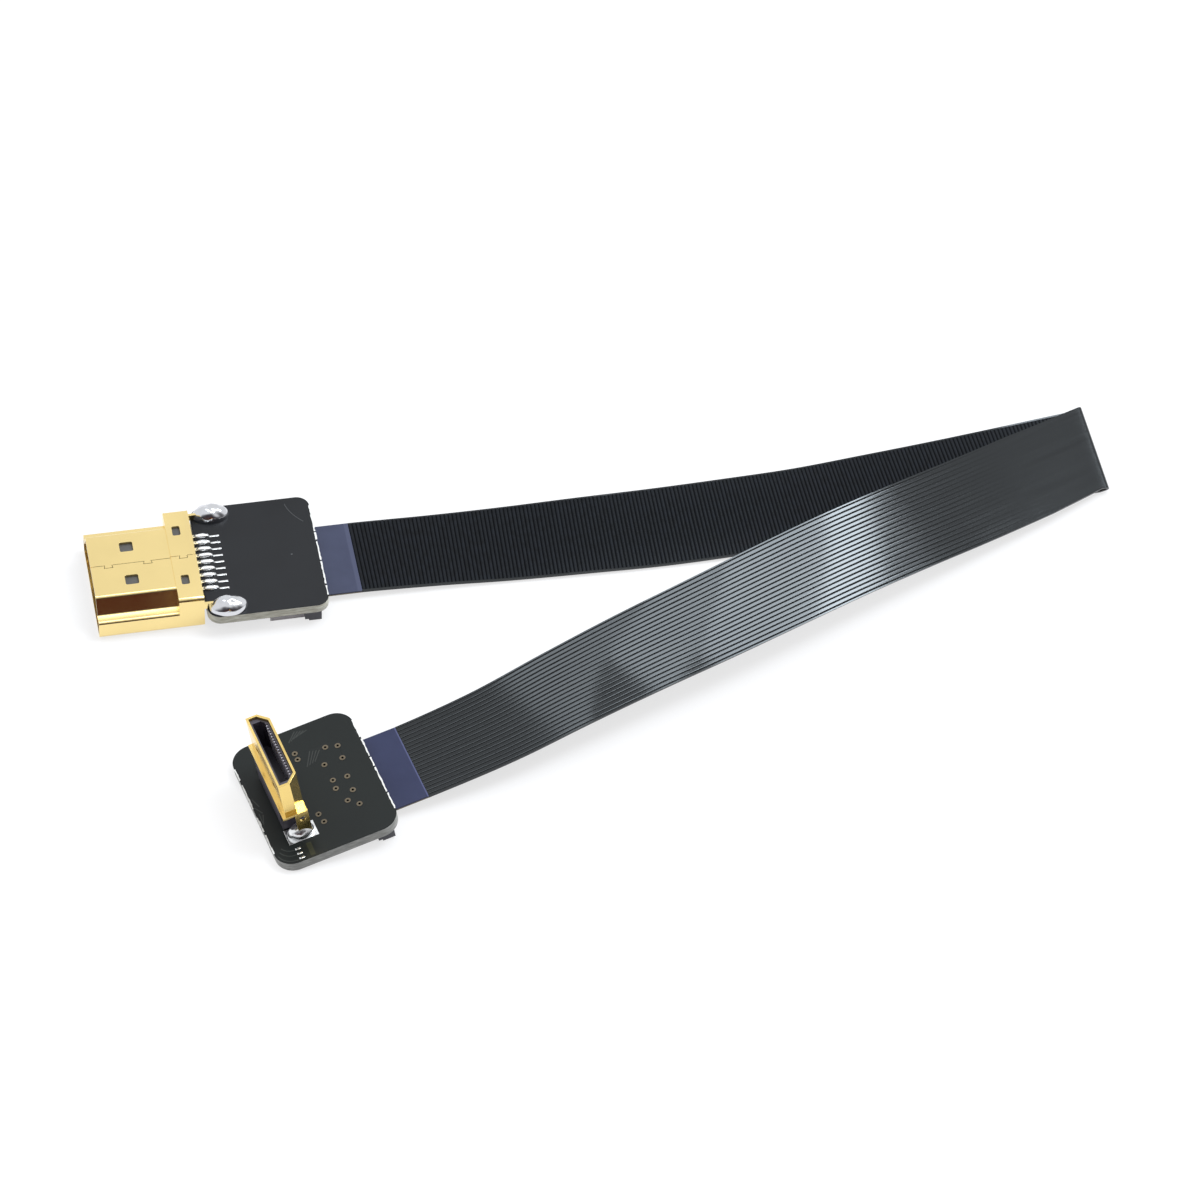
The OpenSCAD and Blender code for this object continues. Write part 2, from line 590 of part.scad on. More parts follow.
module mini_solder() {
    color([0.78, 0.78, 0.80])
    mini_frame() for (s = [-1, 1]) difference() {
        translate([mini_t / 2, s * (mini_pad_v + mini_pad_w / 2), 0.05]) mound(foot_solder_l, foot_solder_w, foot_solder_h);
        translate([-2, -mini_base_w / 2 - eps, 0]) cube([mini_t + 4, mini_base_w + 2 * eps, 3]);
        translate([mini_t - 1.5 - eps, s * (mini_w / 2 + rim_w - rim_t / 2) - rim_t / 2 - eps, -1]) cube([1.5 + 2 * eps, rim_t + 2 * eps, 3]);
    }
}

plug_shell();
plug_insulator();
plug_upper_contacts();
plug_lower_contacts();
plug_board();
plug_board_pads();
plug_shell_solder();
plug_pin_solder();
plug_end_housing();
plug_end_slider();
plug_end_contacts();
plug_end_tabs();
plug_end_stiffener();
ribbon();
mini_end_stiffener();
mini_end_housing();
mini_end_slider();
mini_end_contacts();
mini_end_tabs();
mini_board();
mini_board_vias();
mini_board_pads();
mini_shell();
mini_insulator();
mini_contacts();
mini_solder();
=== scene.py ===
import json
import math
import random

import bmesh
import bpy
from mathutils import Matrix, Vector

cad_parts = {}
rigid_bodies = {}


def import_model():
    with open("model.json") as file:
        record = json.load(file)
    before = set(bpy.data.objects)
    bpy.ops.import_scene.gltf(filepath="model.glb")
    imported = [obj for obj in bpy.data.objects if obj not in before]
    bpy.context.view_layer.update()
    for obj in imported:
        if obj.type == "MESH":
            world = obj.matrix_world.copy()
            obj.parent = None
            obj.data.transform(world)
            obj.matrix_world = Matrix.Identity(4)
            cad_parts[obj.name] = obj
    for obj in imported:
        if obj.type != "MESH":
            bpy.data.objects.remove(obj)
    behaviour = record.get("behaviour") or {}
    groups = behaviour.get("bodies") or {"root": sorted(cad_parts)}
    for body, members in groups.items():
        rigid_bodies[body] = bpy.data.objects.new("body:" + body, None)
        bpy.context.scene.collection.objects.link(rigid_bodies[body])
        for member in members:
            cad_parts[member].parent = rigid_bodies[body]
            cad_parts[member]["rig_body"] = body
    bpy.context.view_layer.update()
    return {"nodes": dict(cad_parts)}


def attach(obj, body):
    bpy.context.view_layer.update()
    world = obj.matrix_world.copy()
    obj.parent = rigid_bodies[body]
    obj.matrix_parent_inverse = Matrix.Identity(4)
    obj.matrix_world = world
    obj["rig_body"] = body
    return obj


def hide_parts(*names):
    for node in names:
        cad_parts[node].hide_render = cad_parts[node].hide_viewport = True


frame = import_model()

MM = 0.001

# ---------------------------------------------------------------------------
# The table, the light and the camera
# The cable lies on a plain white table in a light tent: pale walls on the far
# side, a row of soft lamps above it, and the dim room behind the camera.
# ---------------------------------------------------------------------------
scene = bpy.context.scene
scene.view_settings.view_transform = "Standard"


def join(tree, value, socket):
    """Links the socket to another node's output, or sets it to a plain value."""
    value = getattr(value, "socket", value)
    if isinstance(value, bpy.types.NodeSocket):
        tree.links.new(value, socket)
    else:
        socket.default_value = value


def put(tree, kind, settings=(), **sockets):
    """A new node. Its inputs are given by name, with _ for a space, or by number as in0 and in1."""
    node = tree.nodes.new(kind)
    for key, value in dict(settings).items():
        setattr(node, key, value)
    for key, value in sockets.items():
        label = key.replace("_", " ")
        numbered = label.startswith("in") and label[2:].isdigit()
        join(tree, value, node.inputs[int(label[2:]) if numbered else label])
    return node


def maths(tree, operation, *values):
    node = put(tree, "ShaderNodeMath", {"operation": operation})
    for value, socket in zip(values, node.inputs):
        join(tree, value, socket)
    return node.outputs[0]


def table_finish():
    """White paper that takes shadows, with an even glow that only the camera and shiny things see."""
    made = bpy.data.materials.new("white_table")
    made.use_nodes = True
    tree = made.node_tree
    tree.nodes.clear()
    rays = put(tree, "ShaderNodeLightPath").outputs
    seen = maths(tree, "MAXIMUM", rays["Is Camera Ray"], rays["Is Glossy Ray"])
    seen = maths(tree, "MAXIMUM", seen, rays["Is Transmission Ray"])
    paper = put(tree, "ShaderNodeBsdfDiffuse", Color=(0.31, 0.308, 0.315, 1))
    glow = put(tree, "ShaderNodeEmission", Strength=maths(tree, "MULTIPLY", seen, 0.70))
    both = put(tree, "ShaderNodeAddShader", in0=paper.outputs[0], in1=glow.outputs[0])
    put(tree, "ShaderNodeOutputMaterial", Surface=both.outputs[0])
    return made


table_near, table_far, table_side = -0.55, 1.4, 1.2
table_mesh = bpy.data.meshes.new("table")
table_mesh.from_pydata([(x, y, 0) for x, y in ((-table_side, table_near), (table_side, table_near),
                                               (table_side, table_far), (-table_side, table_far))],
                       [], [(0, 1, 2, 3)])
table_mesh.materials.append(table_finish())
table = bpy.data.objects.new("table", table_mesh)
scene.collection.objects.link(table)

# light tent: bright beyond the cable and overhead, a dim warm room on the camera's side
tent = bpy.data.worlds.new("light_tent")
scene.world = tent
tent.use_nodes = True
tent_tree = tent.node_tree
tent_tree.nodes.clear()
tent_way = put(tent_tree, "ShaderNodeTexCoord").outputs["Generated"]
tent_axes = put(tent_tree, "ShaderNodeSeparateXYZ", Vector=tent_way)
tent_reach = put(tent_tree, "ShaderNodeMapRange", Value=tent_axes.outputs["Y"], From_Min=-1.0, From_Max=1.0)
tent_ramp = put(tent_tree, "ShaderNodeValToRGB", Fac=tent_reach.outputs["Result"])
tent_ramp.color_ramp.interpolation = "EASE"
stops = tent_ramp.color_ramp.elements
stops[0].position, stops[0].color = 0.0, (0.085, 0.022, 0.014, 1)
stops[1].position, stops[1].color = 0.375, (0.93, 0.94, 0.95, 1)
stops.new(0.06).color = (0.060, 0.055, 0.060, 1)
tent_light = put(tent_tree, "ShaderNodeBackground", Color=tent_ramp.outputs["Color"])
put(tent_tree, "ShaderNodeOutputWorld", Surface=tent_light.outputs[0])

# a row of soft lamps high on the right, which the film mirrors as one long highlight
for lamp_name, lamp_size, lamp_place, lamp_watts in (
        ("main_lamp", (0.30, 0.36), (0.515, 0.05, 1.0), 3.5),
        ("edge_lamp", (0.118, 0.36), (0.723, 0.05, 1.0), 2.75),
        ("far_lamp", (0.12, 0.14), (0.87, 0.02, 1.0), 0.19),
        ("middle_lamp", (0.18, 0.32), (0.27, 0.19, 1.0), 1.3),
        ("fill_lamp", (0.30, 0.30), (0.03, 0.36, 1.0), 1.1)):
    lamp_light = bpy.data.lights.new(lamp_name, "AREA")
    lamp_light.shape = "RECTANGLE"
    lamp_light.size, lamp_light.size_y = lamp_size
    lamp_light.energy = lamp_watts
    lamp_light.color = (0.89, 0.95, 1.0)
    lamp = bpy.data.objects.new(lamp_name, lamp_light)
    lamp.location = lamp_place
    scene.collection.objects.link(lamp)

# camera: above the near side, turned a little to its right and leaning 2.8 degrees
camera_spot = (-0.04235, -0.4089, 0.4469)
camera_yaw, camera_down, camera_lean = (math.radians(a) for a in (-13.05, 47.5, 2.8))
side = Vector((math.cos(camera_yaw), math.sin(camera_yaw), 0))
ahead = Vector((-math.sin(camera_yaw), math.cos(camera_yaw), 0))
view = ahead * math.cos(camera_down) - Vector((0, 0, 1)) * math.sin(camera_down)
up = ahead * math.sin(camera_down) + Vector((0, 0, 1)) * math.cos(camera_down)
right = side * math.cos(camera_lean) + up * math.sin(camera_lean)
up = up * math.cos(camera_lean) - side * math.sin(camera_lean)
camera_data = bpy.data.cameras.new("camera")
camera_data.sensor_width = 36
camera_data.lens = 162
camera_data.clip_start, camera_data.clip_end = 0.01, 10
camera = bpy.data.objects.new("camera", camera_data)
turn = Matrix((right, up, -view)).transposed().to_4x4()
camera.matrix_world = Matrix.Translation(camera_spot) @ turn
scene.collection.objects.link(camera)
scene.camera = camera

# ---------------------------------------------------------------------------
# The two circuit boards
# Glass-fibre laminate under a nearly black solder mask, routed to a round-
# cornered outline, so that their edges show the bare pale laminate.
# ---------------------------------------------------------------------------
board_t, board_low = 1.2, 1.85
board_high = board_low + board_t
# the mini board rests on one edge and on the connector 11.6 mm away from it
mini_turn, mini_tilt = math.radians(11), math.atan(board_low / 11.6)
mini_place = (Matrix.Translation(Vector((7.3, -35.3, 0)) * MM) @ Matrix.Rotation(mini_turn, 4, "Z")
              @ Matrix.Rotation(-mini_tilt, 4, "Y"))


def scaled(colour, share):
    return tuple(c * share for c in colour)


def ramp(tree, value, low, high, dark, light):
    """The colour that runs from dark to light while the value runs from low to high."""
    node = put(tree, "ShaderNodeValToRGB", Fac=value)
    for stop, spot, colour in zip(node.color_ramp.elements, (low, high), (dark, light)):
        stop.position, stop.color = spot, tuple(min(1, c) for c in colour) + (1,)
    return node


def gloss_drift(tree, cloud, rough, swing):
    drift = put(tree, "ShaderNodeMapRange", Value=cloud, From_Min=0.3, From_Max=0.7,
                To_Min=rough - swing, To_Max=rough + swing)
    return drift.outputs["Result"]


def new_material(name):
    made = bpy.data.materials.new(name)
    made.use_nodes = True
    return made, made.node_tree, made.node_tree.nodes["Principled BSDF"].inputs


def finish(name, colour, rough, metal=0.0, specular=0.5, mottle=0.08, grain=260.0, rough_swing=0.06,
           bump=0.0, bump_grain=2500.0):
    """A material whose colour and gloss drift softly over the piece, with a fine relief."""
    made, tree, look = new_material(name)
    place = put(tree, "ShaderNodeTexCoord").outputs["Object"]
    cloud = put(tree, "ShaderNodeTexNoise", Vector=place, Scale=grain, Detail=5).outputs["Fac"]
    shade = ramp(tree, cloud, 0.3, 0.7, scaled(colour, 1 - mottle), scaled(colour, 1 + mottle))
    shade.name = "shade"
    join(tree, metal, look["Metallic"])
    join(tree, specular, look["Specular IOR Level"])
    join(tree, shade.outputs["Color"], look["Base Color"])
    join(tree, gloss_drift(tree, cloud, rough, rough_swing), look["Roughness"])
    if bump:
        grit = put(tree, "ShaderNodeTexNoise", Vector=place, Scale=bump_grain, Detail=3)
        relief = put(tree, "ShaderNodeBump", Distance=bump * MM, Height=grit.outputs["Fac"])
        join(tree, relief.outputs["Normal"], look["Normal"])
    return made


def repaint(made, amount, colour):
    """Lays a second colour over the material's own one, as far as the amount says."""
    tree = made.node_tree
    both = put(tree, "ShaderNodeMix", {"data_type": "RGBA"}, Factor=amount,
               A=tree.nodes["shade"].outputs["Color"], B=colour)
    join(tree, both.outputs["Result"], tree.nodes["Principled BSDF"].inputs["Base Color"])
    return made


def along_axis(tree, vector, axis):
    return put(tree, "ShaderNodeVectorMath", {"operation": "DOT_PRODUCT"}, in0=vector, in1=axis).outputs["Value"]


def rounded(node, name, material, edge=0.05, steps=2):
    """The CAD node's own shape with its edges broken by a small radius, as one smooth-shaded piece."""
    source = frame["nodes"][node]
    mesh = source.data.copy()
    mesh.name = name
    mesh.materials.clear()
    mesh.materials.append(material)
    work = bmesh.new()
    work.from_mesh(mesh)
    weld, flat_within, corner_from, crease_from = 0.002 * MM, math.radians(1), math.radians(35), math.radians(50)
    bmesh.ops.remove_doubles(work, verts=work.verts, dist=weld)
    bmesh.ops.dissolve_limit(work, angle_limit=flat_within, verts=work.verts, edges=work.edges)
    for face in work.faces:
        face.smooth = True
        face.material_index = 0
    work.to_mesh(mesh)
    work.free()
    piece = bpy.data.objects.new(name, mesh)
    scene.collection.objects.link(piece)
    if edge:
        soften = piece.modifiers.new("soft_edges", "BEVEL")
        soften.width = edge * MM
        soften.segments = steps
        soften.limit_method = "ANGLE"
        soften.angle_limit = corner_from
        soften.use_clamp_overlap = True
        piece.modifiers.new("level_faces", "WEIGHTED_NORMAL").keep_sharp = True
    bpy.context.view_layer.update()
    baked = bpy.data.meshes.new_from_object(piece.evaluated_get(bpy.context.evaluated_depsgraph_get()))
    piece.modifiers.clear()
    piece.data = baked
    baked.name = name
    if not edge:
        baked.set_sharp_from_angle(angle=crease_from)
    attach(piece, source["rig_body"])
    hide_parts(node)
    return piece


def board_finish(name, mask, laminate, face_axis):
    """Solder mask on the two faces, and bare laminate on the routed edge between them."""
    made = finish(name, mask, 0.42, specular=0.27, mottle=0.10, grain=180, bump=0.0012, bump_grain=9000)
    tree = made.node_tree
    facing = along_axis(tree, put(tree, "ShaderNodeNewGeometry").outputs["Normal"], face_axis)
    on_edge = put(tree, "ShaderNodeMapRange", Value=maths(tree, "ABSOLUTE", facing), From_Min=0.18, From_Max=0.34,
                  To_Min=1.0, To_Max=0.0)
    place = put(tree, "ShaderNodeTexCoord").outputs["Object"]
    layers = put(tree, "ShaderNodeMapping", Vector=place, Scale=(0.35, 0.35, 2.0))
    fibre = put(tree, "ShaderNodeTexNoise", Vector=layers.outputs[0], Scale=2600, Detail=4)
    bare = ramp(tree, fibre.outputs["Fac"], 0.30, 0.72, scaled(laminate, 0.66), scaled(laminate, 1.25))
    return repaint(made, on_edge.outputs["Result"], bare.outputs["Color"])


def line_on(place, name, points, width, height, material):
    """A low raised line on a board's face through the given points, as a thin closed strip."""
    sunk = -0.02
    verts, faces = [], []
    for i, point in enumerate(points):
        here = Vector(point)
        after, before = points[min(i + 1, len(points) - 1)], points[max(i - 1, 0)]
        way = (Vector(after) - Vector(before)).normalized()
        out = Vector((-way.y, way.x)) * (width[i] if isinstance(width, list) else width) / 2
        for shift, level in ((out, sunk), (out, height), (-out, height), (-out, sunk)):
            spot = here + shift
            verts.append(place @ Vector((spot.x * MM, spot.y * MM, level * MM)))
    for i in range(len(points) - 1):
        for k in range(4):
            faces.append((4 * i + k, 4 * i + (k + 1) % 4, 4 * i + 4 + (k + 1) % 4, 4 * i + 4 + k))
    last = 4 * len(points) - 4
    faces += [(3, 2, 1, 0), (last, last + 1, last + 2, last + 3)]
    mesh = bpy.data.meshes.new(name)
    mesh.from_pydata(verts, [], faces)
    work = bmesh.new()
    work.from_mesh(mesh)
    bmesh.ops.recalc_face_normals(work, faces=work.faces)
    work.to_mesh(mesh)
    work.free()
    mesh.materials.append(material)
    line = bpy.data.objects.new(name, mesh)
    scene.collection.objects.link(line)
    return line


def joined(piece, parts):
    """Joins the parts into the piece, which keeps its own name and body."""
    with bpy.context.temp_override(active_object=piece, selected_editable_objects=[piece] + parts):
        bpy.ops.object.join()


def frayed_edge(place, x, spans, material, seed):
    """Pale torn fibres along a routed edge: short strips whose width and line wander."""
    chance = random.Random(seed)
    spacing, drift, width, height = 0.3, (-0.035, 0.02), (0.09, 0.22), 0.015
    strips = []
    for low, high in spans:
        count = max(3, int((high - low) / spacing))
        points = [(x + chance.uniform(*drift), low + (high - low) * k / (count - 1)) for k in range(count)]
        widths = [chance.uniform(*width) for _ in points]
        strips.append(line_on(place, "torn_fibres", points, widths, height, material))
    return strips


def on_arc(start, bend, end):
    """Points on a plain curve from the start to the end, drawn towards the bend."""
    steps = 8
    return [tuple(a * (1 - t) ** 2 + 2 * b * t * (1 - t) + c * t * t for a, b, c in zip(start, bend, end))
            for t in (k / steps for k in range(steps + 1))]


mini_up = mini_place.to_3x3() @ Vector((0, 0, 1))
mini_top = mini_place @ Matrix.Translation((0, 0, board_t * MM))
black_mask = board_finish("black_mask", (0.0085, 0.0095, 0.0120), (0.90, 0.86, 0.70), (0, 0, 1))
green_mask = board_finish("green_black_mask", (0.0062, 0.0090, 0.0085), (0.455, 0.46, 0.435), tuple(mini_up))
plug_board = rounded("plug_board", "full_size_board", black_mask, edge=0.08)
mini_board = rounded("mini_board", "mini_plug_board", green_mask, edge=0.08)

# a hairline scratch and a speck in the mask, and the tracks that show through it
scuff = finish("scuffed_mask", (0.075, 0.08, 0.085), 0.5, specular=0.3)
track = finish("mask_over_track", (0.023, 0.027, 0.025), 0.38, specular=0.45)
torn = finish("torn_fibres", (0.86, 0.86, 0.84), 0.6, mottle=0.05)
olive = finish("mask_over_bare_copper", (0.020, 0.022, 0.009), 0.42, specular=0.36)
plug_top = Matrix.Translation((0, 0, board_high * MM))
joined(plug_board, [
    line_on(plug_top, "scratch", on_arc((17.02, 7.47), (17.35, 5.9), (18.73, 4.52)), 0.06, 0.004, scuff),
    line_on(plug_top, "speck", [(16.58, -0.29), (16.78, -0.29)], 0.18, 0.008, scuff)]
    + frayed_edge(plug_top, 19.76, [(-7.0, -5.6), (-5.3, -1.9), (-1.7, 1.2), (1.5, 2.6), (2.8, 6.9)], torn, 3))
tracks = [on_arc((2.25, -6.93), (1.35, -6.9), (0.95, -6.1)), on_arc((2.2, -7.61), (1.1, -7.6), (0.62, -6.5)),
          on_arc((2.2, -8.33), (0.75, -8.3), (0.3, -6.9)),
          [(0.35, 1.6), (0.75, 0.3)], [(0.25, 0.35), (0.8, -0.7)],
          [(0.4, -0.6), (0.35, -1.9)], [(0.75, -0.9), (0.35, -2.2)]]
tracks += [[(6.6 + 0.32 * k, 7.0 + 0.12 * k), (7.7 + 0.32 * k, 8.2 - 0.1 * k)] for k in range(5)]
tracks += [[(7.3 + 0.34 * k, 3.0 + 0.1 * k), (8.3 + 0.34 * k, 4.9 - 0.1 * k)] for k in range(4)]
joined(mini_board, [line_on(mini_top, "track", points, 0.11, 0.006, track) for points in tracks]
       + [line_on(mini_top, "bare_stripe", [(3.9, -6.6), (3.85, -8.4)], 0.55, 0.003, olive)]
       + frayed_edge(mini_top, 13.96, [(-6.6, -4.3), (-4.1, -0.4), (-0.2, 1.1), (1.3, 3.9), (4.2, 6.8)], torn, 8)
       + frayed_edge(mini_top, 0.05, [(-6.4, -3.6), (-3.1, -1.0), (0.3, 3.9), (4.6, 6.3)], torn, 12))

# ---------------------------------------------------------------------------
# The flat ribbon
# Twenty flat conductors laminated between two films: a glossy grey film that
# shows the conductors on one face, a matt black cross-ribbed one on the other.
# Both ends are stripped to a thin laminate and pushed into the connectors.
# ---------------------------------------------------------------------------
ribbon_w, jacket_t, tail_t = 10.5 * MM, 0.3 * MM, 0.12 * MM
ways, way_pitch = 20, 0.5 * MM
ribbon_drop = 0.91
tail_drop = (ribbon_drop + 0.16) * MM - tail_t / 2
board_edge, mini_board_l = 19.8, 14.0
stiffener_out, ribbon_in = 4.1, 4.6


def on_mini(u, v, n):
    return mini_place @ Vector((u * MM, v * MM, n * MM))


def mini_station(u):
    p = on_mini(u, 0, -ribbon_drop) / MM
    return (p.x, p.y, p.z, math.degrees(mini_turn), 0)


# each run's stations: the place in millimetres, then the turn and the roll in degrees
plug_exit_z = board_low - ribbon_drop
plug_side = [(board_edge - ribbon_in, 0, plug_exit_z, 0, 0), (board_edge + stiffener_out, 0, plug_exit_z, 0, 0),
             (33, -0.2, 0.8, -2, 1), (41, -0.5, 0.8, -2.5, 4), (50, -0.9, 1.1, -2, 7), (58.5, -1.1, 1.2, -0.5, 9),
             (67, -1, 1.3, 1, 9), (75.5, -0.7, 1.4, 3, 8), (84, 0, 1.6, 4.5, 7), (93, 0.7, 1.8, 5, 8),
             (101.5, 1.3, 2, 5.5, 12), (110, 2, 2, 6.5, 19)]
mini_side = [(110, 2, 2.6, 6.5, 19), (101.7, -1.9, 3.4, 21, 22), (93.4, -5.7, 4.3, 24.5, 24),
             (85, -9.4, 5.2, 24, 24), (76.7, -13, 5.8, 23, 23), (68.4, -16.6, 6, 22.5, 20),
             (60, -20, 5.8, 21.5, 16), (51.4, -23.2, 5.3, 20.5, 11), (43, -26.4, 4.6, 20, 6),
             (34.3, -29.5, 3.4, 17, 2),
             mini_station(mini_board_l + stiffener_out), mini_station(mini_board_l - ribbon_in)]


def along(route, i, t):
    """Catmull-Rom curve through the stations, which carries the turn and the roll along."""
    a, b, c, d = (route[max(0, min(len(route) - 1, i + k))] for k in (-1, 0, 1, 2))
    return [0.5 * (2 * q + (r - p) * t + (2 * p - 5 * q + 4 * r - s) * t * t + (3 * q - p - 3 * r + s) * t ** 3)
            for p, q, r, s in zip(a, b, c, d)]


def cross_line(turned, rolled):
    """The direction from one edge of the ribbon to the other."""
    turned, rolled = math.radians(turned), math.radians(rolled)
    return Vector((-math.sin(turned) * math.cos(rolled), math.cos(turned) * math.cos(rolled), math.sin(rolled)))


def stretch_at(route, i, t):
    """The ribbon's middle, its cross line at full width, and the way that its ribbed face looks."""
    nudge = 0.01
    p, after, before = along(route, i, t), along(route, i, t + nudge), along(route, i, t - nudge)
    way = (Vector(after[:3]) - Vector(before[:3])).normalized()
    across = cross_line(p[3], p[4])
    skew = across.dot(way)
    return Vector(p[:3]) * MM, across * (ribbon_w / math.sqrt(1 - skew * skew)), way.cross(across).normalized()


rings_per_stretch, crease_rings, crease_r = 9, 11, 0.3 * MM
last_plug, last_mini = len(plug_side) - 2, len(mini_side) - 3
jacket = [stretch_at(plug_side, i, k / rings_per_stretch)
          for i in range(1, last_plug + 1) for k in range(rings_per_stretch)]
fold = mini_side[0]
fold_line = cross_line(fold[3], fold[4])
fold_out = Vector((math.cos(math.radians(fold[3])), math.sin(math.radians(fold[3])), 0))
fold_up = fold_out.cross(fold_line)
fold_mid = Vector(fold[:3]) * MM - Vector((0, 0, crease_r))
for k in range(crease_rings):
    a = math.radians(-90 + 180 * k / (crease_rings - 1))
    outward = fold_out * math.cos(a) + fold_up * math.sin(a)
    jacket.append((fold_mid + outward * crease_r, fold_line * ribbon_w, -outward))
jacket += [stretch_at(mini_side, i, k / rings_per_stretch)
           for i in range(last_mini + 1) for k in range(1, rings_per_stretch + 1)]

# past the crease the ribbon starts a little narrower, as its skewed end does
first, drawn_in = len(jacket) - (last_mini + 1) * rings_per_stretch, 0.05
for k in range(rings_per_stretch):
    middle, across, face = jacket[first + k]
    jacket[first + k] = (middle, across * (1 - drawn_in * (1 - (k + 1) / rings_per_stretch)), face)


def path_object(name, rings):
    """An edge path whose points carry the ribbon's cross line and the direction of its ribbed face."""
    mesh = bpy.data.meshes.new(name)
    mesh.from_pydata([r[0] for r in rings], [(i, i + 1) for i in range(len(rings) - 1)], [])
    for key, part in (("across", 1), ("face", 2)):
        store = mesh.attributes.new(key, "FLOAT_VECTOR", "POINT")
        store.data.foreach_set("vector", [x for r in rings for x in r[part]])
    path = bpy.data.objects.new(name, mesh)
    scene.collection.objects.link(path)
    return path


class Term:
    """A number inside a node tree. Sums written with it become Math nodes of that tree."""

    def __init__(self, tree, socket):
        self.tree, self.socket = tree, socket

    def do(self, operation, *others):
        return Term(self.tree, maths(self.tree, operation, self, *others))

    def __add__(self, other):
        return self.do("ADD", other)

    def __sub__(self, other):
        return self.do("SUBTRACT", other)

    def __rsub__(self, other):
        return Term(self.tree, maths(self.tree, "SUBTRACT", other, self))

    def __mul__(self, other):
        return self.do("MULTIPLY", other)

    def __truediv__(self, other):
        return self.do("DIVIDE", other)

    def __rtruediv__(self, other):
        return Term(self.tree, maths(self.tree, "DIVIDE", other, self))


class Plan:
    """A Geometry Nodes tree under construction: named inputs, and short calls for its nodes."""

    def __init__(self, name, inputs):
        self.tree = bpy.data.node_groups.new(name, "GeometryNodeTree")
        self.tree.interface.new_socket("Geometry", in_out="OUTPUT", socket_type="NodeSocketGeometry")
        self.tree.interface.new_socket("Geometry", in_out="INPUT", socket_type="NodeSocketGeometry")
        self.keys = {}
        for label, kind in inputs.items():
            made = self.tree.interface.new_socket(label, in_out="INPUT", socket_type="NodeSocket" + kind)
            self.keys[label] = made.identifier
        self.source = self.tree.nodes.new("NodeGroupInput")
        self.result = self.tree.nodes.new("NodeGroupOutput")

    def number(self, socket):
        return Term(self.tree, socket)

    def given(self, label):
        return self.number(self.source.outputs[label])

    def put(self, kind, settings=(), **sockets):
        return put(self.tree, kind, settings, **sockets)

    def vector(self, operation, **sockets):
        return self.put("ShaderNodeVectorMath", {"operation": operation}, **sockets).outputs[0]

    def attribute(self, key, kind="FLOAT_VECTOR"):
        return self.put("GeometryNodeInputNamedAttribute", {"data_type": kind}, Name=key).outputs["Attribute"]

    def store(self, geometry, key, value, kind):
        return self.put("GeometryNodeStoreNamedAttribute", {"data_type": kind, "domain": "POINT"},
                        Geometry=geometry, Name=key, Value=value).outputs[0]

    def finish(self, geometry):
        real = self.put("GeometryNodeRealizeInstances", Geometry=geometry)
        dressed = self.put("GeometryNodeSetMaterial", Geometry=real.outputs[0], Material=self.given("Material"))
        join(self.tree, dressed.outputs[0], self.result.inputs[0])


def grown(carrier, plan, name, values):
    """Runs a plan on its carrier object and returns the result as a plain mesh object."""
    modifier = carrier.modifiers.new(name, "NODES")
    modifier.node_group = plan.tree
    for label, value in values.items():
        modifier[plan.keys[label]] = value
    bpy.context.view_layer.update()
    mesh = bpy.data.meshes.new_from_object(carrier.evaluated_get(bpy.context.evaluated_depsgraph_get()))
    carrier.modifiers.remove(modifier)
    mesh.name = name
    piece = bpy.data.objects.new(name, mesh)
    scene.collection.objects.link(piece)
    return piece


# The film plan carries a closed section along the path. Its front side has the
# conductors' grooves across it or the ribs along it, and its back is plain.
film = Plan("film_along_path", {
    "Ring step": "Float", "Columns": "Int", "Back columns": "Int", "Width share": "Float",
    "Front height": "Float", "Back height": "Float", "Groove pitch": "Float", "Groove depth": "Float",
    "Groove start": "Float", "Groove end": "Float", "Rib pitch": "Float", "Rib height": "Float",
    "Material": "Material"})
whole_turn = 2 * math.pi
crowding, groove_sharpness, relief_share = 0.6, 9, 0.49
step, columns, back_columns = film.given("Ring step"), film.given("Columns"), film.given("Back columns")
front_at, pitch, depth = film.given("Front height"), film.given("Groove pitch"), film.given("Groove depth")
curve = film.put("GeometryNodeMeshToCurve", Mesh=film.given("Geometry")).outputs[0]
stepped = film.put("GeometryNodeResampleCurve", {"mode": "LENGTH"}, Curve=curve,
                   Length=step.do("MAXIMUM", 0.02 * MM)).outputs[0]
use_step = film.put("FunctionNodeCompare", {"data_type": "FLOAT", "operation": "GREATER_THAN"}, in0=step, in1=0.0)
rail = film.put("GeometryNodeSwitch", {"input_type": "GEOMETRY"}, Switch=use_step.outputs[0],
                **{"False": curve, "True": stepped}).outputs[0]
rings = film.put("GeometryNodeAttributeDomainSize", {"component": "CURVE"}, Geometry=rail).outputs["Point Count"]
loop = columns + back_columns + 1
sheet = film.put("GeometryNodeMeshGrid", Vertices_X=rings, Vertices_Y=loop).outputs["Mesh"]
index = film.number(film.put("GeometryNodeInputIndex").outputs[0])
ring = ((index + 0.25) / loop).do("FLOOR")
column = index - ring * loop
# the last column lies on the first, and closes the section
column = column * column.do("LESS_THAN", loop - 1.5)
front = column.do("LESS_THAN", columns - 0.5)
front_share = column / (columns - 1)
back_share = 1 - (column - columns) / (back_columns - 1)
share = (front_share * front + back_share * (1 - front) - 0.5) * film.given("Width share")


def at_ring(value, kind="FLOAT_VECTOR"):
    """The path's own value at the ring that each point of the sheet belongs to."""
    return film.put("GeometryNodeSampleIndex", {"data_type": kind, "domain": "POINT"}, Geometry=rail,
                    Value=value, Index=ring).outputs["Value"]


middle = at_ring(film.put("GeometryNodeInputPosition").outputs[0])
across, facing = at_ring(film.attribute("across")), at_ring(film.attribute("face"))
distance = film.number(at_ring(film.put("GeometryNodeSplineParameter").outputs["Length"], "FLOAT"))
width = film.put("ShaderNodeVectorMath", {"operation": "LENGTH"}, in0=across).outputs["Value"]
span = share * width
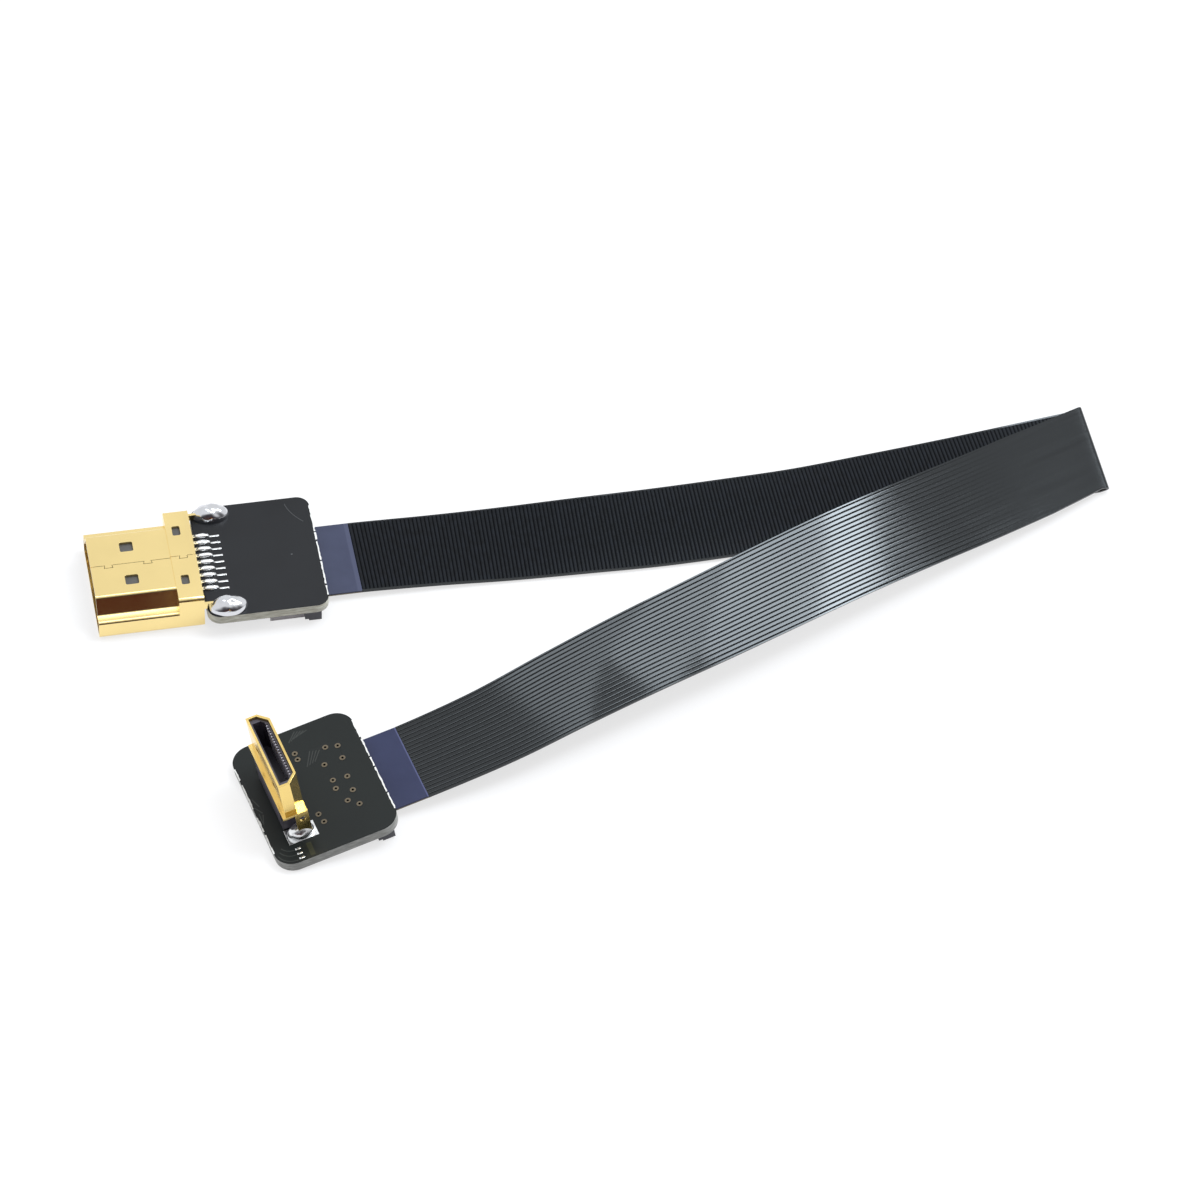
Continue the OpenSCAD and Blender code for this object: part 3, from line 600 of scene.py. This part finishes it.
# the front's columns crowd together at each groove, so that the flats between them stay flat
crowd = (span / pitch * whole_turn).do("SINE") * pitch * (front * (crowding / whole_turn))
span = span - crowd * depth.do("GREATER_THAN", 0.0)
share = span / width
wave = (span / pitch * whole_turn).do("COSINE")
fade = film.put("ShaderNodeMapRange", {"interpolation_type": "SMOOTHSTEP"}, Value=distance,
                From_Min=film.given("Groove start"), From_Max=film.given("Groove end")).outputs["Result"]
groove = wave.do("MAXIMUM", 0).do("POWER", groove_sharpness) * fade * depth
ribs = (distance / film.given("Rib pitch") * whole_turn).do("COSINE")
rib = (0.5 - ribs * 0.5) * film.given("Rib height")
inside = share.do("ABSOLUTE").do("LESS_THAN", film.given("Width share") * relief_share)
front_height = front_at + (rib - groove) * inside * front_at.do("SIGN")
height = front_height * front + film.given("Back height") * (1 - front)
sideways = film.vector("SCALE", in0=across, Scale=share)
spot = film.vector("ADD", in0=sideways, in1=film.vector("SCALE", in0=facing, Scale=height))
formed = film.put("GeometryNodeSetPosition", Geometry=sheet,
                  Position=film.vector("ADD", in0=middle, in1=spot)).outputs[0]
formed = film.store(formed, "on_film", film.put("ShaderNodeCombineXYZ", X=distance, Y=span).outputs[0], "FLOAT_VECTOR")
film.finish(film.put("GeometryNodeMergeByDistance", Geometry=formed, Distance=0.001 * MM).outputs[0])


def film_finish(name, colour, rough, specular, streak, streak_scale, swing, line_axis, line_pitch,
                painted_groove_shade_colour, painted_groove_shade_specular, sharpness, fade_from, fade_to):
    """A film read from its own place on the ribbon: fine streaks, and painted shade in every groove or valley, where
    the colour goes darker and the gloss drops.
    """
    made, tree, look = new_material(name)
    place = put(tree, "ShaderNodeAttribute", {"attribute_name": "on_film"}).outputs["Vector"]
    stretch = put(tree, "ShaderNodeMapping", Vector=place, Scale=streak_scale)
    cloud = put(tree, "ShaderNodeTexNoise", Vector=stretch.outputs[0], Scale=1.0, Detail=6).outputs["Fac"]
    shade = ramp(tree, cloud, 0.35, 0.68, scaled(colour, 1 - streak), scaled(colour, 1 + streak))
    shade.name = "shade"
    parts = put(tree, "ShaderNodeSeparateXYZ", Vector=place)
    # painted shade: a darker, less glossy line in each groove or valley, where shade falls
    ripple = maths(tree, "COSINE", maths(tree, "MULTIPLY", parts.outputs[line_axis], whole_turn / line_pitch))
    line = maths(tree, "POWER", maths(tree, "MAXIMUM", ripple, 0.0), sharpness)
    fade = put(tree, "ShaderNodeMapRange", {"interpolation_type": "SMOOTHSTEP"}, Value=parts.outputs["X"],
               From_Min=fade_from, From_Max=fade_to)
    amount = maths(tree, "MULTIPLY", line, fade.outputs["Result"])
    shine = put(tree, "ShaderNodeMix", Factor=amount, A=specular, B=painted_groove_shade_specular)
    join(tree, (0.90, 0.96, 1.0, 1), look["Specular Tint"])
    join(tree, shine.outputs["Result"], look["Specular IOR Level"])
    join(tree, gloss_drift(tree, cloud, rough, swing), look["Roughness"])
    return repaint(made, amount, painted_groove_shade_colour + (1,))


rib_pitch = 0.45 * MM
# how far along the ribbon the conductors' grooves come in past the smooth crease
plain_end = (0.094, 0.118)
ribs_proud, ribs_sunk = 0.004 * MM, 0.03 * MM
# the grooves between the conductors carry painted shade
glossy_film = film_finish(
    "glossy_grey_film", (0.0100, 0.0110, 0.0120), rough=0.095, specular=0.46, streak=0.12,
    streak_scale=(60, 3000, 1), swing=0.015, line_axis="Y", line_pitch=way_pitch,
    painted_groove_shade_colour=(0.0030, 0.0033, 0.0036), painted_groove_shade_specular=0.06, sharpness=7.0,
    fade_from=plain_end[0], fade_to=plain_end[1])
# the valleys between the ribs carry painted shade
ribbed_black = film_finish(
    "ribbed_black_film", (0.0040, 0.0052, 0.0082), rough=0.42, specular=0.17, streak=0.45,
    streak_scale=(1500, 900, 1), swing=0.10, line_axis="X", line_pitch=rib_pitch,
    painted_groove_shade_colour=(0.0010, 0.0013, 0.0020), painted_groove_shade_specular=0.03, sharpness=1.0, fade_from=-2.0, fade_to=-1.0)
# a film with neither grooves nor ribs
plain = {"Ring step": 0.0, "Width share": 1.0, "Groove pitch": 1.0, "Groove depth": 0.0, "Rib pitch": 1.0,
         "Rib height": 0.0}
jacket_path = path_object("jacket_path", jacket)
jacket_body = grown(jacket_path, film, "flat_ribbon", plain | {
    "Columns": 241, "Back columns": 3, "Front height": -jacket_t / 2, "Back height": jacket_t / 2,
    "Groove pitch": way_pitch, "Groove depth": 0.05 * MM, "Groove start": plain_end[0], "Groove end": plain_end[1],
    "Material": glossy_film})
ribbed = grown(jacket_path, film, "ribbed_film", plain | {
    "Ring step": rib_pitch / 5, "Columns": 7, "Back columns": 2, "Width share": 0.965,
    "Front height": jacket_t / 2 + ribs_proud, "Back height": jacket_t / 2 - ribs_sunk, "Rib pitch": rib_pitch,
    "Rib height": 0.09 * MM, "Material": ribbed_black})
bpy.data.objects.remove(jacket_path)


def closed_and_outward(piece, sharp):
    """Closes the open ends of a film, points its faces outward and sets its smooth shading."""
    work = bmesh.new()
    work.from_mesh(piece.data)
    open_edges = [e for e in work.edges if e.is_boundary]
    if open_edges:
        bmesh.ops.holes_fill(work, edges=open_edges, sides=0)
    bmesh.ops.recalc_face_normals(work, faces=work.faces)
    for face in work.faces:
        face.smooth = True
    work.to_mesh(piece.data)
    work.free()
    piece.data.set_sharp_from_angle(angle=math.radians(sharp))


closed_and_outward(jacket_body, sharp=60)
closed_and_outward(ribbed, sharp=60)

# the bare laminate at each end, with its row of tinned fingers underneath
tail_lap = 0.05
plug_tail = [(Vector((x * MM, 0, board_low * MM - tail_drop)), Vector((0, ribbon_w, 0)), Vector((0, 0, 1)))
             for x in (board_edge - ribbon_in, board_edge + stiffener_out + tail_lap)]
mini_across = mini_place.to_3x3() @ Vector((0, 1, 0))
mini_tail = [(on_mini(u, 0, -tail_drop / MM), mini_across * ribbon_w, -mini_up)
             for u in (mini_board_l + stiffener_out + tail_lap, mini_board_l - ribbon_in)]
laminate_film = finish("bare_laminate", (0.30, 0.24, 0.16), 0.3, mottle=0.15, grain=900)
tinned_way = finish("tinned_copper", (0.62, 0.62, 0.62), 0.3, metal=1.0, mottle=0.12, grain=1500, bump=0.004)

fingers = Plan("contact_fingers", {
    "Count": "Int", "Pitch": "Float", "Finger width": "Float", "Finger length": "Float", "Finger height": "Float",
    "Inset": "Float", "Material": "Material"})
row = fingers.put("GeometryNodeMeshLine", Count=fingers.given("Count")).outputs[0]
number = fingers.number(fingers.put("GeometryNodeInputIndex").outputs[0])
finger = fingers.put("GeometryNodeMeshCube").outputs["Mesh"]
finger_size = fingers.put("ShaderNodeCombineXYZ", X=fingers.given("Finger length"), Y=fingers.given("Finger width"),
                          Z=fingers.given("Finger height")).outputs[0]
offset = (number - (fingers.given("Count") - 1) * 0.5) * fingers.given("Pitch")
row_spot = fingers.put("ShaderNodeCombineXYZ", X=fingers.given("Inset"), Y=offset, Z=0.0).outputs[0]
row = fingers.put("GeometryNodeSetPosition", Geometry=row, Position=row_spot).outputs[0]
fingers.finish(fingers.put("GeometryNodeInstanceOnPoints", Points=row, Instance=finger, Scale=finger_size).outputs[0])

finger_l, finger_w, finger_t, finger_from, finger_gap = 3.4, 0.3, 0.03, 1.75, 0.005
tails = []
for end, rings, place in (("plug", plug_tail, Matrix.Translation((board_edge * MM, 0, board_low * MM))),
                          ("mini", mini_tail, mini_place @ Matrix.Translation((mini_board_l * MM, 0, 0)))):
    tail_path = path_object(end + "_tail_path", rings)
    tail = grown(tail_path, film, end + "_tail", plain | {
        "Columns": 2, "Back columns": 2, "Front height": tail_t / 2, "Back height": -tail_t / 2,
        "Material": laminate_film})
    closed_and_outward(tail, sharp=30)
    comb = grown(tail_path, fingers, end + "_fingers", {
        "Count": ways, "Pitch": way_pitch, "Finger width": finger_w * MM, "Finger length": finger_l * MM,
        "Finger height": finger_t * MM, "Inset": (finger_from - ribbon_in) * MM, "Material": tinned_way})
    comb.data.transform(place @ Matrix.Translation((0, 0, -tail_drop - tail_t / 2 - finger_gap * MM)))
    tails += [tail, comb]
    bpy.data.objects.remove(tail_path)

joined(jacket_body, [ribbed] + tails)
ribbon = jacket_body
ribbon_path = [plug_tail[0][0]] + [r[0] for r in jacket] + [mini_tail[-1][0]]
ribbon_length = sum((b - a).length for a, b in zip(ribbon_path, ribbon_path[1:]))
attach(ribbon, "cable")
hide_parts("ribbon")

# ---------------------------------------------------------------------------
# The stiffeners
# A strip of blue polyester glued over each stripped end, so that it is thick
# enough for the connector to clamp. Its outer border overlaps the black film.
# ---------------------------------------------------------------------------
def stiffener_finish(name, colour, rim, rim_at, axis, rim_w):
    """Blue polyester, with a paler rim where the strip ends over the black film."""
    made = finish(name, colour, 0.34, specular=0.40, mottle=0.07, grain=420, bump=0.0015, bump_grain=7000)
    tree = made.node_tree
    place = put(tree, "ShaderNodeTexCoord").outputs["Object"]
    reach = put(tree, "ShaderNodeVectorMath", {"operation": "SUBTRACT"}, in0=place, in1=rim_at)
    band = put(tree, "ShaderNodeMapRange", Value=along_axis(tree, reach.outputs[0], axis),
               From_Min=-rim_w * 1.15, From_Max=-rim_w * 0.85)
    return repaint(made, band.outputs["Result"], rim + (1,))


plug_rim = ((board_edge + stiffener_out) * MM, 0, 0)
mini_rim = tuple(on_mini(mini_board_l + stiffener_out, 0, 0))
mini_along = tuple(mini_place.to_3x3() @ Vector((1, 0, 0)))
blue_strip = stiffener_finish("blue_strip", (0.036, 0.044, 0.092), (0.055, 0.064, 0.122), plug_rim, (1, 0, 0),
                              0.5 * MM)
deep_blue_strip = stiffener_finish("deep_blue_strip", (0.016, 0.023, 0.076), (0.075, 0.085, 0.20), mini_rim,
                                   mini_along, 0.14 * MM)
plug_stiffener = rounded("plug_end_stiffener", "full_size_end_stiffener", blue_strip, edge=0.03)
mini_stiffener = rounded("mini_end_stiffener", "mini_end_stiffener_strip", deep_blue_strip, edge=0.03)

# ---------------------------------------------------------------------------
# The ribbon connectors
# An ivory moulded housing is soldered under each board by its contacts and two
# tabs. A dark grey bar with two side arms slides in to lock the ribbon.
# ---------------------------------------------------------------------------
ivory = finish("ivory_moulding", (0.86, 0.83, 0.87), 0.42, mottle=0.05, grain=500, bump=0.004, bump_grain=5000)
bar_grey = finish("grey_bar", (0.075, 0.075, 0.092), 0.4, mottle=0.10, grain=500, bump=0.004, bump_grain=5000)
contact_tin = finish("tinned_contact", (0.80, 0.79, 0.77), 0.24, metal=1.0, mottle=0.10, grain=1800, rough_swing=0.08)
for end in ("plug", "mini"):
    rounded(end + "_end_housing", end + "_end_connector_housing", ivory, edge=0.04)
    rounded(end + "_end_slider", end + "_end_lock_bar", bar_grey, edge=0.06)
    rounded(end + "_end_contacts", end + "_end_connector_contacts", contact_tin, edge=0.02, steps=1)
    rounded(end + "_end_tabs", end + "_end_solder_tabs", contact_tin, edge=0.03)

# ---------------------------------------------------------------------------
# The full-size plug
# A black moulded block carries two rows of contacts. A gold-plated sheet shell
# is folded round it and closed by a dovetailed seam along its upper face.
# ---------------------------------------------------------------------------
gold = finish("gold_plate", (0.93, 0.735, 0.335), 0.17, metal=1.0, mottle=0.03, grain=120, rough_swing=0.05,
              bump=0.0012, bump_grain=1800)
plug_black = finish("black_moulding", (0.085, 0.082, 0.080), 0.38, mottle=0.12, grain=500, bump=0.004, bump_grain=5000)
pin_gold = finish("pale_gold_contact", (0.92, 0.80, 0.52), 0.22, metal=1.0, mottle=0.08, grain=1500)
rounded("plug_insulator", "full_size_plug_block", plug_black, edge=0.05)
rounded("plug_shell", "full_size_plug_shell", gold, edge=0.07, steps=3)
for row_name in ("upper", "lower"):
    contacts = "plug_" + row_name + "_contacts"
    rounded(contacts, "full_size_" + contacts, pin_gold, edge=0.03)

# ---------------------------------------------------------------------------
# Pads and solder on the full-size board
# Bright tinned pads in front of each contact, one uneven bead of solder on each
# tail, and a big shiny mound that drowns each of the shell's two ears.
# ---------------------------------------------------------------------------
pad_tin = finish("pad_tin", (0.86, 0.87, 0.88), 0.22, metal=1.0, mottle=0.10, grain=1600, bump=0.006, bump_grain=3000)
solder = finish("solder", (0.70, 0.71, 0.74), 0.10, metal=1.0, mottle=0.06, grain=900, rough_swing=0.05,
                bump=0.010, bump_grain=900)
bead_solder = finish("bead_solder", (0.90, 0.91, 0.92), 0.26, metal=1.0, mottle=0.08, grain=1500, rough_swing=0.10,
                     bump=0.012, bump_grain=2600)
plug_pads = rounded("plug_board_pads", "full_size_board_pads", pad_tin, edge=0.02)
# the real pads sit a little off the contacts' own centre lines
pads_off = Vector((0.12, -0.16, 0)) * MM
plug_pads.data.transform(Matrix.Translation(pads_off))

# A drop of molten metal that froze on a flat pad: a full round top on a flat base.
drops = Plan("solder_drops", {
    "Segments": "Int", "Fullness": "Float", "Lump height": "Float", "Lump size": "Float", "Seed": "Float",
    "Material": "Material"})
segments, base_share = drops.given("Segments"), 0.02
ball = drops.put("GeometryNodeMeshUVSphere", Segments=segments, Rings=(segments * 0.6).do("FLOOR")).outputs["Mesh"]
position = drops.put("GeometryNodeInputPosition").outputs[0]
ball_at = drops.put("ShaderNodeSeparateXYZ", Vector=position)
up_side = drops.number(ball_at.outputs["Z"])
rise = up_side.do("MAXIMUM", 0.0).do("POWER", drops.given("Fullness"))
dome = drops.put("ShaderNodeCombineXYZ", X=ball_at.outputs["X"], Y=ball_at.outputs["Y"],
                 Z=rise + up_side.do("MINIMUM", 0.0) * base_share).outputs[0]
ball = drops.put("GeometryNodeSetPosition", Geometry=ball, Position=dome).outputs[0]
ball = drops.store(ball, "lift", rise, "FLOAT")
placed = drops.put("GeometryNodeInstanceOnPoints", Points=drops.given("Geometry"), Instance=ball,
                   Scale=drops.attribute("size")).outputs[0]
placed = drops.put("GeometryNodeRealizeInstances", Geometry=placed).outputs[0]
lumps = drops.put("ShaderNodeTexNoise", {"noise_dimensions": "4D"}, Vector=position, W=drops.given("Seed"),
                  Scale=1.0 / drops.given("Lump size"), Detail=1.0).outputs[0]
swell = (drops.number(lumps) - 0.5) * drops.given("Lump height") * drops.attribute("lift", "FLOAT")
normal = drops.put("GeometryNodeInputNormal").outputs[0]
drops.finish(drops.put("GeometryNodeSetPosition", Geometry=placed,
                       Offset=drops.vector("SCALE", in0=normal, Scale=swell)).outputs[0])


def drop_row(name, node, groups, values):
    """Solder drops that replace the CAD node. Each group has its place, spots and half sizes in millimetres."""
    rows = []
    for place, spots, sizes in groups:
        mesh = bpy.data.meshes.new(name + "_spots")
        mesh.from_pydata([Vector(s) * MM for s in spots], [], [])
        store = mesh.attributes.new("size", "FLOAT_VECTOR", "POINT")
        store.data.foreach_set("vector", [c * MM for size in sizes for c in size])
        carrier = bpy.data.objects.new(name + "_spots", mesh)
        scene.collection.objects.link(carrier)
        row = grown(carrier, drops, name, values)
        bpy.data.objects.remove(carrier)
        row.data.transform(place)
        rows.append(row)
    if rows[1:]:
        joined(rows[0], rows[1:])
    closed_and_outward(rows[0], sharp=60)
    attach(rows[0], "cable")
    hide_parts(node)


plug_board_x = 6.3
upper_face = Matrix.Translation((0, 0, board_high * MM))
lower_face = Matrix.Translation((0, 0, board_low * MM)) @ Matrix.Rotation(math.pi, 4, "X")
drop_row("full_size_ear_solder", "plug_shell_solder",
         [(upper_face, [(plug_board_x + 2.25, 7.05, 0), (plug_board_x + 2.3, -7.1, 0)],
           [(2.15, 1.32, 1.36), (2.2, 1.35, 1.36)])],
         {"Segments": 56, "Fullness": 1.0, "Lump height": 0.52 * MM, "Lump size": 1.0 * MM, "Seed": 4.0,
          "Material": solder})
pin_x, pin_pitch = plug_board_x + 0.72, 1.0
drop_row("full_size_pin_solder", "plug_pin_solder",
         [(upper_face, [(pin_x, (i - 4) * pin_pitch, 0) for i in range(9)], [(0.95, 0.33, 0.34)] * 9),
          (lower_face, [(pin_x, (i - 4.5) * pin_pitch, 0) for i in range(10)], [(0.85, 0.33, 0.30)] * 10)],
         {"Segments": 24, "Fullness": 0.7, "Lump height": 0.16 * MM, "Lump size": 0.45 * MM, "Seed": 9.0,
          "Material": bead_solder})

# ---------------------------------------------------------------------------
# Vias and pads of the mini board
# Drilled holes plated with copper, left bare in the mask as small brown rings,
# and tinned pads round the mini plug.
# ---------------------------------------------------------------------------
# copper rings on top, and near-black painted shade on the walls inside the holes
via_copper = board_finish("via_copper", (0.135, 0.108, 0.072), (0.0015, 0.0015, 0.0015), tuple(mini_up))
rounded("mini_board_vias", "mini_board_plated_holes", via_copper, edge=0)
mini_pads = rounded("mini_board_pads", "mini_board_tinned_pads", pad_tin, edge=0.02)
# the mask laps over the far pad, so that only its inner part shows
far_side, pad_middle, lap = 3, 2.3, 0.62
for corner in mini_pads.data.vertices:
    spot = mini_top.inverted() @ corner.co / MM
    if spot.y > far_side and spot.x < pad_middle:
        corner.co += mini_top.to_3x3() @ Vector((lap * MM, 0, 0))

# ---------------------------------------------------------------------------
# The mini plug
# A gold-plated shell with one chamfered side stands mouth up on a moulded
# base, with nineteen contacts along one wall of its slot.
# ---------------------------------------------------------------------------
mini_grey = finish("purple_grey_moulding", (0.068, 0.062, 0.082), 0.4, mottle=0.12, grain=600, bump=0.004,
                   bump_grain=5000)
rounded("mini_insulator", "mini_plug_block", mini_grey, edge=0.05)
deep_gold = finish("deep_gold_plate", (0.90, 0.665, 0.235), 0.20, metal=1.0, mottle=0.06, grain=300,
                   rough_swing=0.08, bump=0.004, bump_grain=700)
comb_grey = finish("comb_contact", (0.86, 0.83, 0.93), 0.4, metal=0.0, mottle=0.12, grain=1500)
rounded("mini_shell", "mini_plug_shell", deep_gold, edge=0.09, steps=3)
rounded("mini_contacts", "mini_plug_contacts", comb_grey, edge=0.02, steps=1)
feet_line = mini_top @ Matrix.Translation((2.45 * MM, 0, 0))
foot_x, foot_y = 1.21, 5.06
drop_row("mini_plug_solder", "mini_solder",
         [(feet_line, [(foot_x, side * foot_y, 0.05) for side in (1, -1)], [(1.5, 1.0, 1.3)] * 2)],
         {"Segments": 48, "Fullness": 0.8, "Lump height": 0.45 * MM, "Lump size": 0.8 * MM, "Seed": 2.0,
          "Material": bead_solder})
